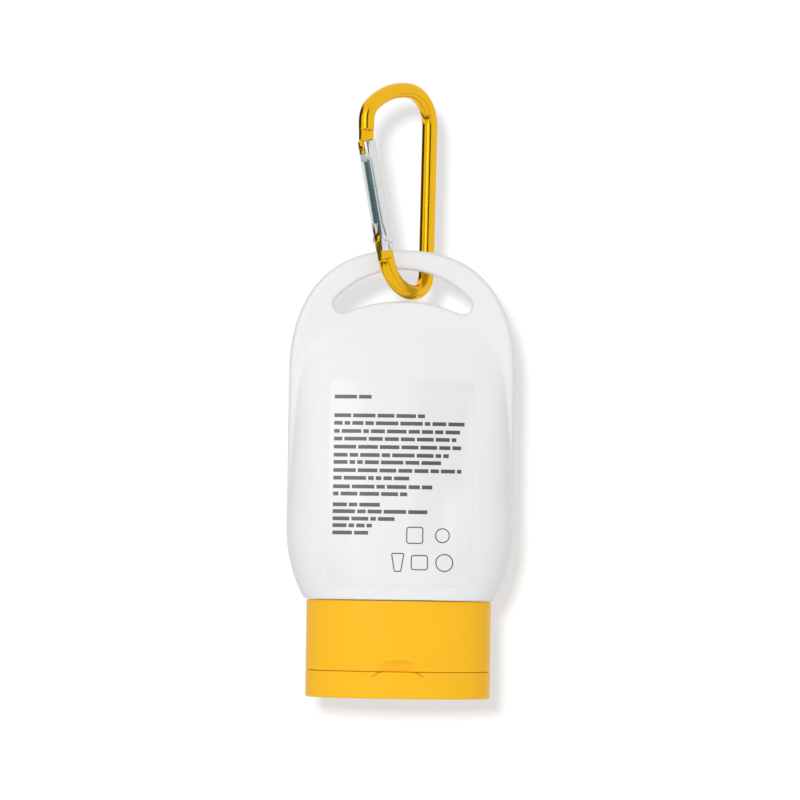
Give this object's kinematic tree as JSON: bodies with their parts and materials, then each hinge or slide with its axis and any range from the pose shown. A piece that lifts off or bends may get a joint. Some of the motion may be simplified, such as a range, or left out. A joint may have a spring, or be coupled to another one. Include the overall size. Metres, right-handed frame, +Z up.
{
  "type": "sunscreen bottle",
  "caption": "Small flat squeeze bottle for lotion with a moulded hanging slot, a flip-top cap that it stands on, and a snap hook with a sprung gate.",
  "frame": {"origin": "middle of the cap's flat base, on which the bottle stands", "axes": "+Z up the bottle towards the hanging slot, +X to the right seen from the front, -Y towards the front with the label and the thumb tab"},
  "size_m": [0.0506, 0.0245, 0.1376],
  "materials": {
    "bottle_plastic": "satin moulded polyethylene",
    "label_film": "glossy film",
    "cap_plastic": "semi-gloss moulded polypropylene, yellow",
    "hook_metal": "gold anodised, glossy",
    "gate_metal": "bright turned",
    "rivet_metal": "bright, headed at both ends",
    "plunger_metal": "turned",
    "spring_wire": "drawn wire"
  },
  "bodies": {
    "root": {"bottle": "bottle_plastic", "label": "label_film", "cap_collar": "cap_plastic", "hinge_films": "cap_plastic", "hinge_strap": "cap_plastic"},
    "lid": {"cap_lid": "cap_plastic"},
    "hook": {"hook_body": "hook_metal"},
    "gate": {"gate": "gate_metal", "gate_rivet": "rivet_metal", "gate_spring": "spring_wire"},
    "plunger": {"gate_plunger": "plunger_metal"}
  },
  "joints": [
    {"name": "lid_hinge", "type": "hinge", "parent": "root", "child": "lid", "pos_m": [0, 0.01028, 0.00596], "axis": [1, 0, 0], "range_deg": [0, 150], "deforming": ["hinge_films", "hinge_strap"]},
    {"name": "hook_swing", "type": "hinge", "parent": "root", "child": "hook", "pos_m": [0, 0, 0.0978], "axis": [1, 0, 0], "range_deg": [-105, 105]},
    {"name": "gate_pivot", "type": "hinge", "parent": "hook", "child": "gate", "pos_m": [-0.00473, -0.00647, 0.10181], "axis": [-0.7547, 0.6561, 0], "range_deg": [0, 25], "stiffness_Nm_per_rad": 0.0012, "springref_deg": -45.84},
    {"name": "plunger_slide", "type": "slide", "parent": "gate", "child": "plunger", "axis": [-0.1797, -0.2067, 0.9617], "range_m": [0, 0.0003], "deforming": ["gate_spring"]}
  ],
  "couplings": [
    {"joint": "gate_pivot", "follows": "plunger_slide", "rad_per_m": 1454.4}
  ]
}
